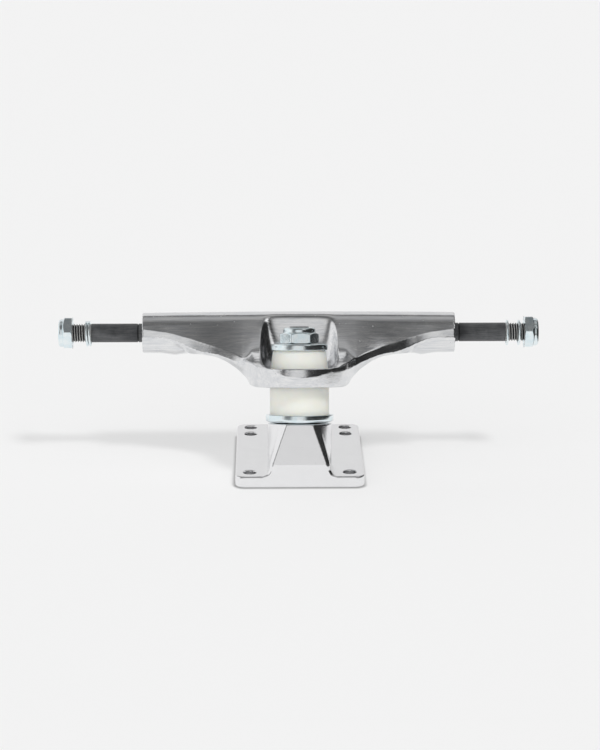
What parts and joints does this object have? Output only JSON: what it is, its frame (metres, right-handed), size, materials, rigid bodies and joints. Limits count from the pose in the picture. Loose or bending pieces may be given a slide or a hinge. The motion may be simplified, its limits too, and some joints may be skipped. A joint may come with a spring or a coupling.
{
  "type": "skateboard truck",
  "caption": "Skateboard truck: flat baseplate with leaning kingpin tower, cream bushings, polished cast hanger on a pivot, and a black axle with lock nuts and speed rings.",
  "frame": {"origin": "centre of the deck face, midway between the outer bolt rows", "axes": "+X along the axle, +Z from the deck face towards the axle, -Y towards the kingpin side"},
  "size_m": [0.2038, 0.075, 0.0632],
  "materials": {
    "cast_aluminium": "satin tumbled casting",
    "polished_aluminium": "brushed and polished",
    "zinc_steel": "bright blue-white zinc plate",
    "black_steel": "black oxide",
    "urethane": "cream urethane, satin",
    "nylon": "matte",
    "cup_plastic": "matte black"
  },
  "bodies": {
    "base": {"baseplate": "cast_aluminium", "pivot_cup": "cup_plastic", "kingpin": "black_steel", "bottom_washer": "zinc_steel", "bottom_bushing": "urethane", "top_bushing": "urethane", "top_washer": "zinc_steel"},
    "hanger": {"hanger": "polished_aluminium", "axle": "black_steel"},
    "kingpin_nut_lift": {"kingpin_nut_insert": "nylon"},
    "kingpin_nut": {"kingpin_nut": "zinc_steel"},
    "left_axle_nut_shift": {"left_axle_nut_insert": "nylon"},
    "left_axle_nut": {"left_axle_nut": "zinc_steel"},
    "right_axle_nut_shift": {"right_axle_nut_insert": "nylon"},
    "right_axle_nut": {"right_axle_nut": "zinc_steel"},
    "left_inner_ring": {"left_inner_ring": "zinc_steel"},
    "left_outer_ring": {"left_outer_ring": "zinc_steel"},
    "right_inner_ring": {"right_inner_ring": "zinc_steel"},
    "right_outer_ring": {"right_outer_ring": "zinc_steel"}
  },
  "joints": [
    {"name": "hanger_steer", "type": "hinge", "parent": "base", "child": "hanger", "pos_m": [0, 0.0205, 0.017], "axis": [0, 0.8388, -0.5444], "range_deg": [-12, 12], "stiffness_Nm_per_rad": 12, "deforming": ["bottom_bushing", "top_bushing"]},
    {"name": "kingpin_nut_lift", "type": "slide", "parent": "base", "child": "kingpin_nut_lift", "axis": [0, 0.2419, 0.9703], "range_m": [0, 0.00742]},
    {"name": "kingpin_nut_turn", "type": "hinge", "parent": "kingpin_nut_lift", "child": "kingpin_nut", "pos_m": [0, -0.01414, 0.05566], "axis": [0, 0.2419, 0.9703], "range_deg": [0, 2520]},
    {"name": "left_axle_nut_shift", "type": "slide", "parent": "hanger", "child": "left_axle_nut_shift", "axis": [-1, 0, 0], "range_m": [-0.00329, 0.00562]},
    {"name": "left_axle_nut_turn", "type": "hinge", "parent": "left_axle_nut_shift", "child": "left_axle_nut", "pos_m": [-0.0993, 0.0109, 0.0535], "axis": [-1, 0, 0], "range_deg": [-1116, 1908]},
    {"name": "left_inner_ring_slide", "type": "slide", "parent": "hanger", "child": "left_inner_ring", "axis": [-1, 0, 0], "range_m": [-0.0218, 0]},
    {"name": "right_axle_nut_shift", "type": "slide", "parent": "hanger", "child": "right_axle_nut_shift", "axis": [1, 0, 0], "range_m": [-0.00329, 0.00562]},
    {"name": "right_axle_nut_turn", "type": "hinge", "parent": "right_axle_nut_shift", "child": "right_axle_nut", "pos_m": [0.0993, 0.0109, 0.0535], "axis": [1, 0, 0], "range_deg": [-1116, 1908]},
    {"name": "right_inner_ring_slide", "type": "slide", "parent": "hanger", "child": "right_inner_ring", "axis": [1, 0, 0], "range_m": [-0.0218, 0]},
    {"name": "left_outer_ring_slide", "type": "slide", "parent": "hanger", "child": "left_outer_ring", "axis": [-1, 0, 0], "range_m": [-0.0001, 0.0013]},
    {"name": "right_outer_ring_slide", "type": "slide", "parent": "hanger", "child": "right_outer_ring", "axis": [1, 0, 0], "range_m": [-0.00191, 0.00326]}
  ],
  "couplings": [
    {"joint": "kingpin_nut_lift", "follows": "kingpin_nut_turn", "m_per_rad": 0.00016844},
    {"joint": "left_axle_nut_shift", "follows": "left_axle_nut_turn", "m_per_rad": 0.00016844},
    {"joint": "right_axle_nut_shift", "follows": "right_axle_nut_turn", "m_per_rad": 0.00016844},
    {"joint": "right_outer_ring_slide", "follows": "right_axle_nut_turn", "m_per_rad": 0.000097695}
  ]
}
